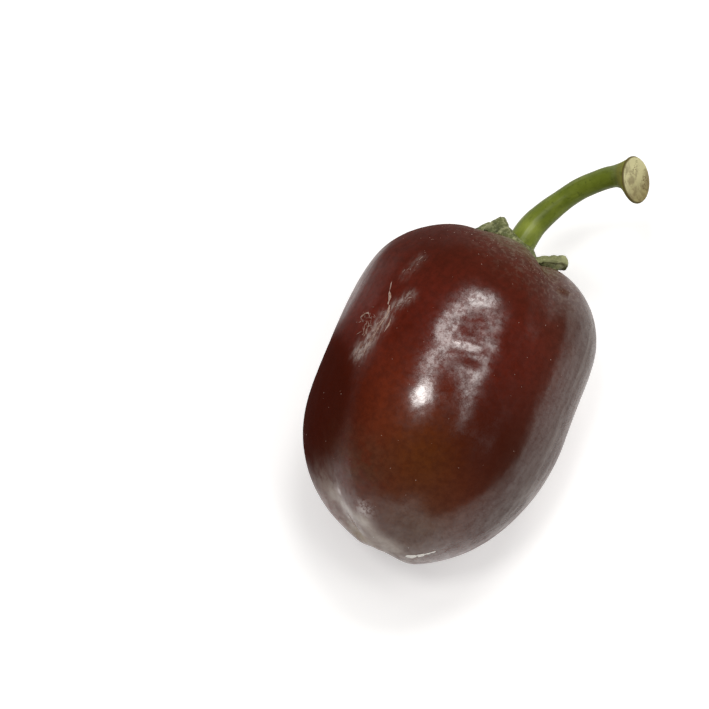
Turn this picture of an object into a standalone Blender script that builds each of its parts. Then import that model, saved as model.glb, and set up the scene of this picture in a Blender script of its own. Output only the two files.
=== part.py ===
"""A chocolate habanero pepper as picked, lying on its side.

Three pieces that grew together: the pod, the lobed calyx on its shoulders and the curved stem, which ends in
the flared scar where it came off the plant. They are modelled round the pod's own axis, +Y from the blossom
end to the stem, and are then set down as one, on the small flat spot under the pod.

Angles round the axis are in degrees, from +X (right, 0) through +Z (up, 90) to -X (left, 180). A place along
the pod is given as a share, from -1 at the blossom end to 1 at the stem.
"""

import math

import bmesh
import bpy
from mathutils import Vector
from mathutils.bvhtree import BVHTree

MM = 0.001

# Pod: its size before the creases and hollows are pressed in, and how squarely its outline turns in
POD_LENGTH = 48.0 * MM
POD_WIDTH = 35.9 * MM
POD_DEPTH = 33.0 * MM
SECTION_SQUARENESS = 2.15
SHOULDER_SQUARENESS = 4.2
TIP_SQUARENESS = 2.2
TIP_LEAN = -0.2
FLAT_DEPTH = 0.2 * MM
POD_RINGS = 40
POD_SIDES = 66

# Creases between the lobes: angle at the shoulders, angle at the blossom end, half-width, depth at the
# shoulders, depth at mid-length, depth at the blossom end
CREASES = (
    (47, 80, 3.4 * MM, 1.4 * MM, 0.5 * MM, 0.5 * MM),
    (124, 152, 4.2 * MM, 0.5 * MM, 0.6 * MM, 1.1 * MM),
    (214, 222, 4.2 * MM, 1.8 * MM, 0.9 * MM, 1.2 * MM),
    (318, 312, 4.2 * MM, 1.8 * MM, 0.9 * MM, 1.2 * MM),
)
CREASE_START = 0.45

# Soft dents, and swellings with a depth below zero: angle, share of the way along, radius, depth
DENTS = (
    (158, 0.42, 5.0 * MM, 0.50 * MM),
    (250, 0.10, 6.0 * MM, 0.40 * MM),
    (190, -0.45, 6.5 * MM, -0.60 * MM),
    (20, 0.55, 6.0 * MM, -0.40 * MM),
    (125, 0.90, 5.0 * MM, -0.60 * MM),
    (72, 0.98, 3.0 * MM, -0.40 * MM),
    (203, -0.86, 3.5 * MM, 0.45 * MM),
    (352, 0.22, 6.0 * MM, 0.40 * MM),
)

# The hollow that the calyx sits in
SEAT_X = 2.0 * MM
SEAT_Z = -0.5 * MM
SEAT_RADIUS = 5.2 * MM
SEAT_DEPTH = 2.6 * MM

# The blossom end's hollow, and its two knobs with a depth below zero: x, z, radius, depth
BLOSSOM_END = (
    (0.2 * MM, -0.8 * MM, 2.0 * MM, 1.2 * MM),
    (-3.2 * MM, -2.6 * MM, 2.0 * MM, -0.4 * MM),
    (4.0 * MM, -0.6 * MM, 2.6 * MM, -0.3 * MM),
)

# Calyx: a thin disc laid on the pod, with a raised hub that the stem grows from
FIT_GAP = 0.3 * MM
CALYX_DISC_RADIUS = 3.7 * MM
CALYX_THICKNESS = 0.85 * MM
CALYX_RIM_THICKNESS = 0.75 * MM
CALYX_SIDES = 75
HUB_RADIUS = 2.4 * MM
HUB_HEIGHT = 1.1 * MM
HUB_FILLET = 0.9 * MM

# Lobes of the calyx: angle, reach past the disc, half-width in degrees, height of the arch, lift of the tip.
# The two neighbours at 146 and 178 are one broad lobe that has crumpled into two folds.
CALYX_LOBES = (
    (10, 3.5 * MM, 20, 0.2 * MM, 1.4 * MM),
    (84, 1.9 * MM, 24, 0.0 * MM, 0.1 * MM),
    (146, 3.0 * MM, 16, 2.5 * MM, 0.5 * MM),
    (178, 3.2 * MM, 14, 2.0 * MM, 0.5 * MM),
    (238, 2.6 * MM, 21, 0.6 * MM, 0.9 * MM),
    (305, 2.8 * MM, 21, 0.9 * MM, 0.5 * MM),
)
LOBE_ROUNDNESS = 1.8
ARCH_THICKENING = 0.175

# Stem: its centre line from the hub, as (x, y, z), and its thickness
STEM_PATH = (
    (0.0 * MM, 0.0 * MM, 0.0 * MM),
    (0.0 * MM, 1.2 * MM, 0.0 * MM),
    (0.7 * MM, 4.1 * MM, 0.2 * MM),
    (2.5 * MM, 7.5 * MM, 1.0 * MM),
    (4.8 * MM, 10.6 * MM, 2.4 * MM),
    (7.4 * MM, 12.7 * MM, 4.3 * MM),
    (9.4 * MM, 13.7 * MM, 5.9 * MM),
    (11.0 * MM, 14.2 * MM, 7.4 * MM),
)
STEM_BASE_RADIUS = 2.05 * MM
STEM_RADIUS = 1.55 * MM
STEM_TAPER_END = 0.55
STEM_RIDGES = 5
STEM_RIDGE_HEIGHT = 0.04
STEM_SIDES = 20
STEM_RINGS = 30

# The scar at the stem's end: how the stem flares into it, off centre, and its shallow dished face
SCAR_RADIUS = 3.35 * MM
SCAR_FLARE_LENGTH = 3.6 * MM
SCAR_FLARE_POWER = 2.0
SCAR_DROP = 0.95 * MM
SCAR_FACE = ((0.96, 0.35 * MM), (0.84, 0.28 * MM), (0.55, 0.10 * MM))

POD_COLOUR = (0.060, 0.012, 0.007)
CALYX_COLOUR = (0.13, 0.16, 0.05)
STEM_COLOUR = (0.17, 0.24, 0.04)


def clear_scene():
    for old in list(bpy.data.objects):
        bpy.data.objects.remove(old)


def smoothstep(low, high, value):
    share = min(1.0, max(0.0, (value - low) / (high - low)))
    return share * share * (3 - 2 * share)


def bell(distance, width):
    return math.exp(-((distance / width) ** 2))


def turn_between(a, b):
    """The smallest turn from a to b, in degrees."""
    return (b - a + 180) % 360 - 180


def even_turns(count):
    return [360 * i / count for i in range(count)]


def squareness(angle, along):
    """How squarely the outline turns in towards the nearer end. The blossom end is squarer on the left."""
    if along > 0:
        return SHOULDER_SQUARENESS
    return TIP_SQUARENESS + TIP_LEAN * math.cos(math.radians(angle))


def pod_stations(count):
    """Places along the pod from end to end, evenly spaced over its outline as seen from above."""
    steps = 2000
    outline = []
    for i in range(steps + 1):
        turn = math.pi * (i / steps - 0.5)
        along = math.copysign(abs(math.sin(turn)) ** (2 / squareness(90, turn)), turn)
        outline.append((along, along * POD_LENGTH / 2, math.cos(turn) * POD_WIDTH / 2))
    walked = [0.0]
    for a, b in zip(outline, outline[1:]):
        walked.append(walked[-1] + math.hypot(b[1] - a[1], b[2] - a[2]))
    stations = []
    i = 0
    for k in range(count + 1):
        while i < steps and walked[i] < walked[-1] * k / count:
            i += 1
        stations.append(outline[i][0])
    return stations


def crease_depth(along, at_shoulder, at_middle, at_tip):
    towards_shoulder = smoothstep(0.15, 0.85, along)
    towards_tip = smoothstep(0.25, 0.85, -along)
    return at_middle + (at_shoulder - at_middle) * towards_shoulder + (at_tip - at_middle) * towards_tip


def pressed_depth(angle, along, x, z, radius, full_radius):
    """How far the creases, dents and end hollows press the skin in at this place."""
    starting = smoothstep(0.0, CREASE_START, radius / full_radius)
    depth = 0.0
    for at_stem, at_blossom, width, *depths in CREASES:
        crease_angle = at_stem + (at_blossom - at_stem) * (1 - along) / 2
        distance = math.radians(turn_between(angle, crease_angle)) * math.sqrt(radius * full_radius)
        depth += starting * crease_depth(along, *depths) * bell(distance, width)
    for dent_angle, dent_along, dent_radius, dent_depth in DENTS:
        round_axis = math.radians(turn_between(angle, dent_angle)) * radius
        along_axis = (along - dent_along) * POD_LENGTH / 2
        depth += dent_depth * bell(math.hypot(round_axis, along_axis), dent_radius)
    hollows = ((SEAT_X, SEAT_Z, SEAT_RADIUS, SEAT_DEPTH),) if along > 0 else BLOSSOM_END
    for hollow_x, hollow_z, hollow_radius, hollow_depth in hollows:
        depth += hollow_depth * bell(math.hypot(x - hollow_x, z - hollow_z), hollow_radius)
    return depth


def pod_point(angle, along):
    """A point of the pod's skin, from its angle round the axis and its place along it."""
    half_width, half_depth, half_length = POD_WIDTH / 2, POD_DEPTH / 2, POD_LENGTH / 2
    across, up = math.cos(math.radians(angle)), math.sin(math.radians(angle))
    power = SECTION_SQUARENESS
    full_radius = (abs(across / half_width) ** power + abs(up / half_depth) ** power) ** (-1 / power)
    q = squareness(angle, along)
    share = math.sqrt(1 - abs(along) ** q)
    radius = full_radius * share
    place = Vector((across * radius, along * half_length, up * radius))
    slope = math.copysign(q * abs(along) ** (q - 1), along) / half_length
    outward = Vector((2 * share * across / half_width, slope, 2 * share * up / half_depth)).normalized()
    return place - outward * pressed_depth(angle, along, place.x, place.z, radius, full_radius)


def skin_over(bm, rings, start=None, end=None):
    """Joins rings of points into one closed skin. A start or end point closes that end to a pole, and with
    none the ring there is filled flat."""
    loops = [[bm.verts.new(point) for point in ring] for ring in rings]
    for lower, upper in zip(loops, loops[1:]):
        for i in range(len(lower)):
            j = (i + 1) % len(lower)
            bm.faces.new((lower[i], lower[j], upper[j], upper[i]))
    for loop, pole in ((loops[0], start), (loops[-1], end)):
        if pole is None:
            bm.faces.new(loop)
            continue
        centre = bm.verts.new(pole)
        for i in range(len(loop)):
            bm.faces.new((loop[i], loop[(i + 1) % len(loop)], centre))
    bmesh.ops.recalc_face_normals(bm, faces=bm.faces[:])


def add_object(name, bm, colour, roughness, parent):
    mesh = bpy.data.meshes.new(name)
    bm.to_mesh(mesh)
    bm.free()
    mesh.shade_smooth()
    mesh.set_sharp_from_angle(angle=math.radians(40))
    material = bpy.data.materials.new(name)
    material.use_nodes = True
    shader = material.node_tree.nodes["Principled BSDF"]
    shader.inputs["Base Color"].default_value = (*colour, 1)
    shader.inputs["Roughness"].default_value = roughness
    mesh.materials.append(material)
    piece = bpy.data.objects.new(name, mesh)
    bpy.context.scene.collection.objects.link(piece)
    piece.parent = parent


def pod_mesh():
    """The pod, with the flat spot that it lies on cut across its lowest place."""
    bm = bmesh.new()
    stations = pod_stations(POD_RINGS)
    rings = [[pod_point(angle, along) for angle in even_turns(POD_SIDES)] for along in stations[1:-1]]
    skin_over(bm, rings, pod_point(0, -1), pod_point(0, 1))
    lowest = min(vert.co.z for vert in bm.verts)
    cut = bmesh.ops.bisect_plane(
        bm,
        geom=bm.verts[:] + bm.edges[:] + bm.faces[:],
        dist=1e-7,
        plane_co=(0, 0, lowest + FLAT_DEPTH),
        plane_no=(0, 0, -1),
        clear_outer=True,
    )
    edges = [item for item in cut["geom_cut"] if isinstance(item, bmesh.types.BMEdge)]
    bmesh.ops.contextual_create(bm, geom=edges)
    bmesh.ops.recalc_face_normals(bm, faces=bm.faces[:])
    return bm


def pod_top(skin, x, z):
    """How far along the axis the pod's stem end reaches at this place."""
    place, _, _, _ = skin.ray_cast(Vector((x, POD_LENGTH, z)), Vector((0, -1, 0)))
    return place.y


def stem_seat(skin):
    """The centre of the hub's flat top, where the stem begins."""
    height = pod_top(skin, SEAT_X, SEAT_Z) + FIT_GAP + CALYX_THICKNESS + HUB_HEIGHT
    return Vector((SEAT_X, height, SEAT_Z))


def lobe_shape(angle):
    """The calyx's reach from its centre at this angle, with the arch and the tip's lift there."""
    reach, arch, lift = CALYX_DISC_RADIUS, 0.0, 0.0
    for lobe_angle, length, half_width, lobe_arch, lobe_lift in CALYX_LOBES:
        near = math.exp(-abs(turn_between(angle, lobe_angle) / half_width) ** LOBE_ROUNDNESS)
        reach += length * near
        arch += lobe_arch * near
        lift += lobe_lift * near
    return reach, arch, lift


def calyx_heights(share, reach, arch, lift):
    """Heights of the calyx's underside and top over the pod, from its centre (share 0) to its rim (1)."""
    distance = share * reach
    beyond_hub = max(0.0, distance - HUB_RADIUS) / (reach - HUB_RADIUS)
    under = FIT_GAP + arch * math.sin(math.pi * beyond_hub) ** 1.3 + lift * smoothstep(0.0, 1.0, beyond_hub)
    thickness = CALYX_THICKNESS + (CALYX_RIM_THICKNESS - CALYX_THICKNESS) * share
    thickness *= 1 + ARCH_THICKENING * arch / MM
    hub = HUB_HEIGHT * (1 - smoothstep(HUB_RADIUS, HUB_RADIUS + HUB_FILLET, distance))
    return under, under + thickness + hub


def calyx_point(skin, angle, share, level):
    """A point of the calyx: level 0 is its underside, 1 its top and 0.5 the edge between them."""
    reach, arch, lift = lobe_shape(angle)
    x = SEAT_X + reach * share * math.cos(math.radians(angle))
    z = SEAT_Z + reach * share * math.sin(math.radians(angle))
    under, top = calyx_heights(share, reach, arch, lift)
    return Vector((x, pod_top(skin, x, z) + under + (top - under) * level, z))


def hub_ring(centre, radius, drop):
    ring = []
    for angle in even_turns(CALYX_SIDES):
        turn = math.radians(angle)
        ring.append(centre + Vector((radius * math.cos(turn), -drop, radius * math.sin(turn))))
    return ring


def calyx_mesh(skin):
    """The calyx, in rings from the middle of its underside, round its rim and up to the hub's flat top."""
    bm = bmesh.new()
    underside = [(share, 0.0) for share in (0.25, 0.5, 0.65, 0.8, 0.92)]
    top = [(share, 1.0) for share in (0.92, 0.84, 0.74, 0.64, 0.54)]
    layers = underside + [(1.0, 0.5)] + top
    rings = [[calyx_point(skin, angle, *layer) for angle in even_turns(CALYX_SIDES)] for layer in layers]
    rings.append(hub_ring(stem_seat(skin), HUB_RADIUS + 0.45 * HUB_FILLET, 0.35 * HUB_HEIGHT))
    rings.append(hub_ring(stem_seat(skin), HUB_RADIUS, 0.0))
    skin_over(bm, rings, calyx_point(skin, 0, 0, 0), None)
    return bm


def smooth_line(points, count):
    """A smooth curve through the points, as (place, direction, length so far) at even steps of its length."""
    knots = [2 * points[0] - points[1], *points, 2 * points[-1] - points[-2]]
    fine = []
    for a, b, c, d in zip(knots, knots[1:], knots[2:], knots[3:]):
        for i in range(60):
            t = i / 60
            bend = (2 * a - 5 * b + 4 * c - d) * t**2 + (3 * b - a - 3 * c + d) * t**3
            fine.append(b + 0.5 * ((c - a) * t + bend))
    fine.append(points[-1])
    walked = [0.0]
    for a, b in zip(fine, fine[1:]):
        walked.append(walked[-1] + (b - a).length)
    line = []
    i = 0
    for k in range(count + 1):
        target = walked[-1] * k / count
        while i < len(fine) - 2 and walked[i + 1] < target:
            i += 1
        share = (target - walked[i]) / (walked[i + 1] - walked[i])
        line.append((fine[i].lerp(fine[i + 1], share), (fine[i + 1] - fine[i]).normalized(), target))
    return line


def stem_ring(centre, side, across, radius, ridge_height):
    ring = []
    for angle in even_turns(STEM_SIDES):
        turn = math.radians(angle)
        ridged = radius * (1 + ridge_height * math.cos(STEM_RIDGES * turn))
        ring.append(centre + side * ridged * math.cos(turn) + across * ridged * math.sin(turn))
    return ring


def stem_mesh(skin):
    """The stem, in rings along its centre line, closed by the dished scar."""
    bm = bmesh.new()
    start = stem_seat(skin) + Vector((0, FIT_GAP, 0))
    line = smooth_line([start + Vector(point) for point in STEM_PATH], STEM_RINGS)
    length = line[-1][2]
    side = Vector((0, 0, 1))
    rings = []
    for place, direction, walked in line:
        side = (side - direction * side.dot(direction)).normalized()
        across = side.cross(direction)
        base = 1 - smoothstep(0.0, STEM_TAPER_END, walked / length)
        flare = max(0.0, 1 - (length - walked) / SCAR_FLARE_LENGTH) ** SCAR_FLARE_POWER
        radius = STEM_RADIUS + (STEM_BASE_RADIUS - STEM_RADIUS) * base + (SCAR_RADIUS - STEM_RADIUS) * flare
        centre = place - across * SCAR_DROP * flare
        rings.append(stem_ring(centre, side, across, radius, STEM_RIDGE_HEIGHT * (1 - flare)))
    for share, forward in SCAR_FACE:
        rings.append(stem_ring(centre + direction * forward, side, across, SCAR_RADIUS * share, 0.0))
    skin_over(bm, rings, None, centre + direction * SCAR_FACE[-1][1])
    return bm


def set_down(holder):
    """Puts the middle of the pepper's box over the origin, with its lowest face on the surface."""
    bpy.context.view_layer.update()
    corners = [piece.matrix_world @ vert.co for piece in holder.children for vert in piece.data.vertices]
    low = Vector([min(corner[i] for corner in corners) for i in range(3)])
    high = Vector([max(corner[i] for corner in corners) for i in range(3)])
    holder.location = (-(low.x + high.x) / 2, -(low.y + high.y) / 2, -low.z)
    bpy.context.view_layer.update()


def main():
    clear_scene()
    holder = bpy.data.objects.new("pepper", None)
    bpy.context.scene.collection.objects.link(holder)
    pod = pod_mesh()
    skin = BVHTree.FromBMesh(pod)
    add_object("pod", pod, POD_COLOUR, 0.25, holder)
    add_object("calyx", calyx_mesh(skin), CALYX_COLOUR, 0.6, holder)
    add_object("stem", stem_mesh(skin), STEM_COLOUR, 0.45, holder)
    set_down(holder)


main()
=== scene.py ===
# %% [markdown]
# # A chocolate habanero pepper
#
# One ripe pepper lies on its side on a pale table. It has three pieces that grew together: the dark waxy pod,
# the crumpled green calyx on its shoulders, and the curved stem that ends in a corky scar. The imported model
# gives their places. This lesson dresses each of them with a finer shape and its own finish.

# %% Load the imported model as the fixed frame
import math
import random

import bmesh
import bpy
from mathutils import Matrix, Vector, noise
from mathutils.bvhtree import BVHTree


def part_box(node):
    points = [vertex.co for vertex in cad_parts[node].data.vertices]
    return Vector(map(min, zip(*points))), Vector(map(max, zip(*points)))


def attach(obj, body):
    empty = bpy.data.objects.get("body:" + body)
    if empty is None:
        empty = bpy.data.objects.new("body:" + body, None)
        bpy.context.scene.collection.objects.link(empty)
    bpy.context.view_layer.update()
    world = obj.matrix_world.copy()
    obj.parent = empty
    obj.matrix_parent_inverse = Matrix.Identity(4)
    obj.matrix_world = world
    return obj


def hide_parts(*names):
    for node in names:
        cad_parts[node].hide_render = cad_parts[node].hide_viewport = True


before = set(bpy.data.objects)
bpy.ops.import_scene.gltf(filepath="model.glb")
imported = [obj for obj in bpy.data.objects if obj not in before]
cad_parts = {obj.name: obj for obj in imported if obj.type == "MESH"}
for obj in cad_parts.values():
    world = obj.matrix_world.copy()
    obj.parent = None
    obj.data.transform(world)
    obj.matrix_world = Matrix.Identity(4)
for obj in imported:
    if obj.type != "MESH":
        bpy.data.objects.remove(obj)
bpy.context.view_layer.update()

MM = 0.001

# %% [markdown]
# ## Arithmetic on node sockets
#
# Shapes that follow a rule and finishes that vary over a surface are both formulas. Blender keeps them as
# nodes, which are slow to read once there are dozens. So a small class wraps one output socket and overloads
# the arithmetic signs: an expression such as 1 - mask then adds its Math node by itself.

# %% A socket that can be calculated with
class Wire:
    """One output socket. Arithmetic on it adds Math nodes to its tree."""

    def __init__(self, tree, socket):
        self.tree = tree
        self.socket = socket

    def calculate(self, operation, *values):
        return self.tree.node("ShaderNodeMath", {"operation": operation}, dict(enumerate(values)))

    def __add__(self, other):
        return self.calculate("ADD", self, other)

    def __sub__(self, other):
        return self.calculate("SUBTRACT", self, other)

    def __rsub__(self, other):
        return self.calculate("SUBTRACT", other, self)

    def __mul__(self, other):
        return self.calculate("MULTIPLY", self, other)

    def __truediv__(self, other):
        return self.calculate("DIVIDE", self, other)

    def __rtruediv__(self, other):
        return self.calculate("DIVIDE", other, self)

    def __pow__(self, other):
        return self.calculate("POWER", self, other)

    def __rpow__(self, other):
        return self.calculate("POWER", other, self)

    def __abs__(self):
        return self.calculate("ABSOLUTE", self)

    __radd__ = __add__
    __rmul__ = __mul__

    def also(self, name):
        """Another output of the node that this one comes from."""
        return Wire(self.tree, socket_of(self.socket.node.outputs, name))


def socket_of(sockets, key):
    """The socket at a number, or the first one in use, with that name if one is given."""
    if isinstance(key, int):
        return sockets[key]
    return next(s for s in sockets if s.enabled and key in (None, s.name))


# %% A tree that is filled from Python
class Tree:
    """A node tree. Its one method adds any node: its settings first, then its sockets' values or links."""

    def __init__(self, tree):
        self.tree = tree

    def node(self, kind, settings=None, sockets=None, out=None):
        made = self.tree.nodes.new(kind)
        for name, value in (settings or {}).items():
            setattr(made, name, value)
        for key, value in (sockets or {}).items():
            socket = socket_of(made.inputs, key)
            if isinstance(value, Wire):
                self.tree.links.new(value.socket, socket)
            else:
                socket.default_value = value
        return Wire(self, socket_of(made.outputs, out)) if made.outputs else made


# %% The few functions that the formulas share
def cosine(angle):
    return angle.calculate("COSINE", angle)


def sine(angle):
    return angle.calculate("SINE", angle)


def bell(distance, width):
    """1 in the middle, falling smoothly to nothing at about twice the width."""
    share = distance / width
    return share.calculate("EXPONENT", share * share * -1)


def smoothstep(low, high, value):
    sockets = {"Value": value, "From Min": low, "From Max": high}
    return value.tree.node("ShaderNodeMapRange", {"interpolation_type": "SMOOTHSTEP"}, sockets)


def length_of(a, b):
    """The long side over two sides at a right angle."""
    square = a * a + b * b
    return square.calculate("SQRT", square)


def clamp01(value):
    return value.tree.node("ShaderNodeClamp", None, {"Value": value})


def vector_in(tree, numbers):
    """A vector from three numbers or wires."""
    return tree.node("ShaderNodeCombineXYZ", None, dict(enumerate(numbers)))


def parts(wire):
    x = wire.tree.node("ShaderNodeSeparateXYZ", None, {0: wire})
    return x, x.also("Y"), x.also("Z")


def vector_math(operation, a, b):
    return a.tree.node("ShaderNodeVectorMath", {"operation": operation}, {0: a, 1: b})


def scaled(wire, factor):
    return wire.tree.node("ShaderNodeVectorMath", {"operation": "SCALE"}, {0: wire, "Scale": factor})


def unit(wire):
    """The same direction with a length of 1."""
    return wire.tree.node("ShaderNodeVectorMath", {"operation": "NORMALIZE"}, {0: wire})


def cloud(place, size, detail=2.0, roughness=0.5, offset=0.0):
    """Smooth noise round 0.5 whose blotches are about this size."""
    moved = vector_math("ADD", place, (offset, offset, offset))
    sockets = {"Vector": moved, "Scale": 0.5 / size, "Detail": detail, "Roughness": roughness}
    return place.tree.node("ShaderNodeTexNoise", {"noise_dimensions": "3D"}, sockets)


def cloud_colour(place, size):
    """Three different noises at once, to bend a path or a pattern in all directions."""
    sockets = {"Vector": place, "Scale": 0.5 / size, "Detail": 2.0}
    return place.tree.node("ShaderNodeTexNoise", {"noise_dimensions": "3D"}, sockets, "Color")


def stretched(place, along):
    """The same place with its distances along the pod divided, so that a pattern on it runs lengthwise."""
    return vector_math("MULTIPLY", place, (1.0, 1.0 / along, 1.0))


# %% [markdown]
# ## Running a shape's tree
#
# A Geometry Nodes tree is a modifier. Its inputs are set by their identifiers before it first runs. Its
# result is then kept as a plain mesh, so that the piece no longer depends on the modifier.

# %% Run a tree once and keep its mesh
MERGE_DISTANCE = 1e-6


def shape_tree(name, inputs):
    """A new Geometry Nodes tree with these named numbers as inputs: the tree, and a wire for each."""
    group = bpy.data.node_groups.new(name, "GeometryNodeTree")
    group.interface.new_socket(name="Geometry", in_out="INPUT", socket_type="NodeSocketGeometry")
    group.interface.new_socket(name="Geometry", in_out="OUTPUT", socket_type="NodeSocketGeometry")
    for label, value in inputs.items():
        kind = "NodeSocketInt" if isinstance(value, int) else "NodeSocketFloat"
        group.interface.new_socket(name=label, in_out="INPUT", socket_type=kind).default_value = value
    tree = Tree(group)
    start = tree.node("NodeGroupInput")
    return tree, {label: start.also(label) for label in ("Geometry", *inputs)}


def end_tree(tree, geometry, material):
    """The last nodes of every tree: real faces, smooth shading and the finish."""
    real = tree.node("GeometryNodeRealizeInstances", None, {"Geometry": geometry})
    smooth = tree.node("GeometryNodeSetShadeSmooth", None, {0: real})
    dressed = tree.node("GeometryNodeSetMaterial", None, {"Geometry": smooth, "Material": material})
    tree.node("NodeGroupOutput", None, {"Geometry": dressed})


def flat_grid(tree, number):
    """A flat grid to roll up: the grid, each point's turn round the piece, and its y from -0.5 to 0.5."""
    grid = tree.node("GeometryNodeMeshGrid", None, {
        "Size X": 1.0,
        "Size Y": 1.0,
        "Vertices X": number["Sides"] + 1,
        "Vertices Y": number["Rings"] + 1})
    x, y, _ = parts(tree.node("GeometryNodeInputPosition"))
    return grid, x * math.tau, y


def roll_up(tree, grid, place, material):
    """Moves the grid's points to their places, merges its seam and its poles, and ends the tree."""
    rolled = tree.node("GeometryNodeSetPosition", None, {"Geometry": grid, "Position": place})
    closed = tree.node("GeometryNodeMergeByDistance", None, {"Geometry": rolled, "Distance": MERGE_DISTANCE})
    end_tree(tree, tree.node("GeometryNodeFlipFaces", None, {"Mesh": closed}), material)


def new_object(name, data):
    made = bpy.data.objects.new(name, data)
    bpy.context.scene.collection.objects.link(made)
    return made


def grow(name, data, tree, inputs):
    """Runs a tree on a mesh or a curve, and returns the object with the finished mesh."""
    starter = new_object(name + "_start", data)
    modifier = starter.modifiers.new(name, "NODES")
    modifier.node_group = tree.tree
    for item in tree.tree.interface.items_tree:
        if item.in_out == "INPUT" and item.name in inputs:
            modifier[item.identifier] = inputs[item.name]
    graph = bpy.context.evaluated_depsgraph_get()
    mesh = bpy.data.meshes.new_from_object(starter.evaluated_get(graph))
    starter.modifiers.clear()
    bpy.data.objects.remove(starter)
    piece = new_object(name, mesh)
    print(name, len(mesh.polygons), "faces")
    return piece


def new_finish(name, constants):
    """A Principled material with its constants set: the material, its tree and the shader's sockets."""
    material = bpy.data.materials.new(name)
    material.use_nodes = True
    sockets = material.node_tree.nodes["Principled BSDF"].inputs
    for socket, value in constants.items():
        sockets[socket].default_value = value
    return material, Tree(material.node_tree), sockets


def feed(wire, socket):
    wire.tree.tree.links.new(wire.socket, socket)


def feed_relief(tree, height, strength, depth, sockets):
    """Relief that only the light sees, this many millimetres deep."""
    values = {"Height": height, "Strength": strength, "Distance": depth * MM}
    feed(tree.node("ShaderNodeBump", None, values), sockets["Normal"])


def add_line(curve, places, radius=1.0):
    """One line through these places in metres, with this radius all along it."""
    line = curve.splines.new("POLY")
    line.points.add(len(places) - 1)
    for point, place in zip(line.points, places):
        point.co = (*place, 1)
        point.radius = radius


# %% [markdown]
# ## The pod's shape
#
# A habanero pod is a rounded block: squarer at the shoulders than at the blossom end, and divided into lobes
# by creases. That is a rule, so Geometry Nodes make it. A flat grid is rolled up round the pod's axis, each
# of its points is pressed in along the skin's own outward direction, and the seam is merged. The numbers are
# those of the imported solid, so the fine skin lies where the solid is. On top of them come a fine crumple,
# lengthwise ripples on the right flank and three small facets that bend the highlight. Sizes are in
# millimetres.

# %% The pod's numbers
AXIS_PLACE = (0.092, -8.506, 16.194)
POD = {
    "Length": 48.0,
    "Width": 35.9,
    "Depth": 33.0,
    "Section Squareness": 2.15,
    "Shoulder Squareness": 4.2,
    "Tip Squareness": 2.2,
    "Tip Lean": -0.2,
    "Sides": 320,
    "Rings": 260,
    "Crumple": 0.042,
    "Ripple": 0.09,
}

# Angle at the shoulders, angle at the blossom end, half-width, depth at the shoulders, middle, blossom end
CREASES = (
    (47, 80, 3.4, 1.4, 0.5, 0.5),
    (124, 152, 4.2, 0.5, 0.6, 1.1),
    (214, 222, 4.2, 1.8, 0.9, 1.2),
    (318, 312, 4.2, 1.8, 0.9, 1.2),
)

# Angle, share of the way along, radius, depth
DENTS = (
    (158, 0.42, 5.0, 0.50),
    (250, 0.10, 6.0, 0.40),
    (190, -0.45, 6.5, -0.60),
    (20, 0.55, 6.0, -0.40),
    (125, 0.90, 5.0, -0.60),
    (72, 0.98, 3.0, -0.40),
    (203, -0.86, 3.5, 0.45),
    (352, 0.22, 6.0, 0.40),
)

# Small facets, where the skin slopes to one side: angle, share, half-width round, half-width along, slope in
# degrees round the pod and along it
FACETS = (
    (87, 0.20, 3.4, 1.6, 2.0, 9.5),
    (80, 0.34, 1.6, 1.4, 2.5, -1.0),
    (98, 0.26, 1.2, 1.4, 4.0, 4.0),
)

# x, z, radius, depth of the hollow under the calyx and of the blossom end's dimple and knobs
SEAT = (2.0, -0.5, 5.2, 2.6)
BLOSSOM_END = (
    (0.2, -0.8, 2.0, 1.2),
    (-3.2, -2.6, 2.0, -0.4),
    (4.0, -0.6, 2.6, -0.3),
)


# %% How deep each place of the skin is pressed in
def turn_between(turn, degrees):
    """The smallest turn between the field and an angle in degrees, in radians."""
    away = turn - math.radians(degrees)
    return away.calculate("WRAP", away, math.pi, -math.pi)


def crease_depth(turn, along, radius, full):
    starting = smoothstep(0.0, 0.45, radius / full)
    to_shoulder = smoothstep(0.15, 0.85, along)
    to_tip = smoothstep(0.25, 0.85, along * -1)
    middle_radius = (radius * full) ** 0.5
    depth = along * 0.0
    for at_stem, at_blossom, width, shoulder, middle, tip in CREASES:
        drift = (1 - along) * (math.radians(at_blossom - at_stem) / 2)
        distance = turn_between(turn - drift, at_stem) * middle_radius
        deep = middle + to_shoulder * (shoulder - middle) + to_tip * (tip - middle)
        depth = depth + deep * bell(distance, width)
    return starting * depth


def dent_depth(turn, along, radius, half_length, dents):
    depth = along * 0.0
    for degrees, share, size, deep in dents:
        away = length_of(turn_between(turn, degrees) * radius, (along - share) * half_length)
        depth = depth + bell(away, size) * deep
    return depth


def facet_depth(turn, along, radius, half_length):
    depth = along * 0.0
    for degrees, share, wide, long, tilt_round, tilt_along in FACETS:
        u = turn_between(turn, degrees) * radius
        v = (along - share) * half_length
        slope = u * math.tan(math.radians(tilt_round)) + v * math.tan(math.radians(tilt_along))
        depth = depth + slope * bell(length_of(u / wide, v / long), 1.0)
    return depth


def hollow(x, z, numbers):
    middle_x, middle_z, size, deep = numbers
    return bell(length_of(x - middle_x, z - middle_z), size) * deep


def hollow_depth(x, z, at_shoulders):
    depth = hollow(x, z, SEAT) * at_shoulders
    for numbers in BLOSSOM_END:
        depth = depth + hollow(x, z, numbers) * (1 - at_shoulders)
    return depth


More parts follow.
